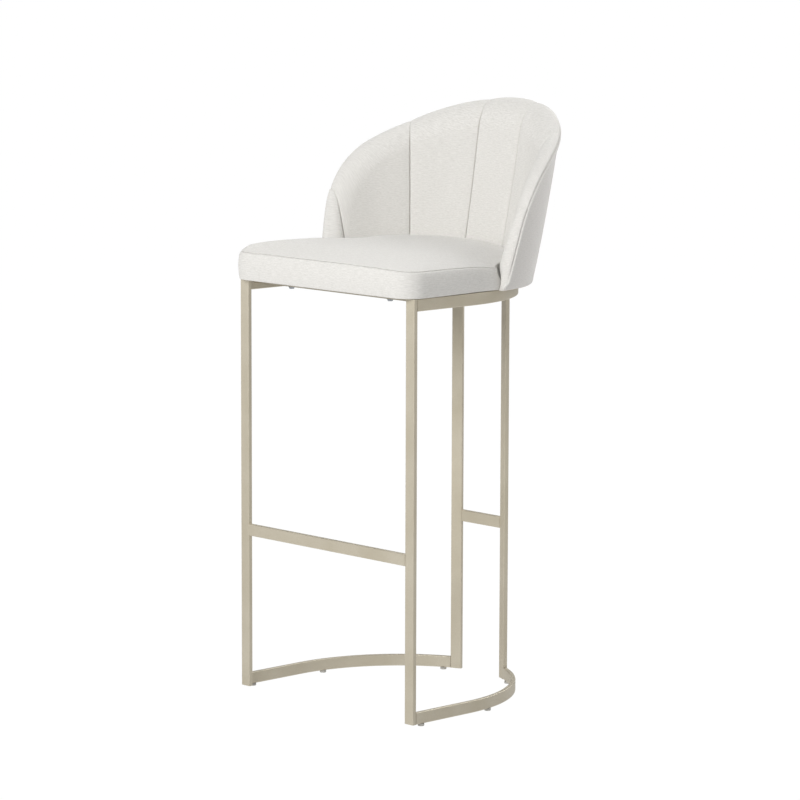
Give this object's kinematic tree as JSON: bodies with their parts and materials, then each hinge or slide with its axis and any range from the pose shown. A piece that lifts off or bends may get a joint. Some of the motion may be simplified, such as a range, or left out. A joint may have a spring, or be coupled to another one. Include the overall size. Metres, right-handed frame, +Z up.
{
  "type": "bar stool with footrest",
  "caption": "Bar stool with a flat-bar steel frame, a front footrest bar, curved floor rails, a boxed seat cushion and a channelled tub back.",
  "frame": {"origin": "on the floor, under the middle of the whole stool's width and depth", "axes": "+Z up; the stool faces -Y, so the tub back is towards +Y; +X to the right as seen from the front, across the stool, which is the same on both sides"},
  "size_m": [0.4788, 0.4661, 1.0033],
  "materials": {
    "frame_steel": "satin champagne powder coat",
    "upholstery": "off-white woven upholstery fabric",
    "piping": "piping cord covered in the same fabric",
    "plywood": "plain birch plywood",
    "foam": "seat foam",
    "dust_cover": "black non-woven dust cover",
    "glide_plastic": "dark grey plastic",
    "zinc_fixings": "bright zinc plated"
  },
  "bodies": {
    "root": {"front_leg_left": "frame_steel", "front_leg_right": "frame_steel", "rear_leg_left": "frame_steel", "rear_leg_right": "frame_steel", "seat_rail_left": "frame_steel", "seat_rail_right": "frame_steel", "seat_rail_back": "frame_steel", "cross_bar_front": "frame_steel", "cross_bar_rear": "frame_steel", "floor_rail_left": "frame_steel", "floor_rail_right": "frame_steel", "footrest_bar": "frame_steel", "rear_stretcher": "frame_steel", "glide_front_left": "glide_plastic", "glide_front_right": "glide_plastic", "glide_mid_left": "glide_plastic", "glide_mid_right": "glide_plastic", "glide_rear_left": "glide_plastic", "glide_rear_right": "glide_plastic", "seat_board": "plywood", "back_shell": "plywood", "seat_foam": "foam", "seat_cover": "upholstery", "back_cover": "upholstery", "dust_cover": "dust_cover", "channel_centre": "upholstery", "channel_inner_left": "upholstery", "channel_inner_right": "upholstery", "channel_outer_left": "upholstery", "channel_outer_right": "upholstery", "channel_wing_left": "upholstery", "channel_wing_right": "upholstery", "back_piping": "piping", "seat_bolts": "zinc_fixings", "bolt_washers": "zinc_fixings", "tee_nuts": "zinc_fixings", "shell_screws": "zinc_fixings"}
  },
  "joints": []
}
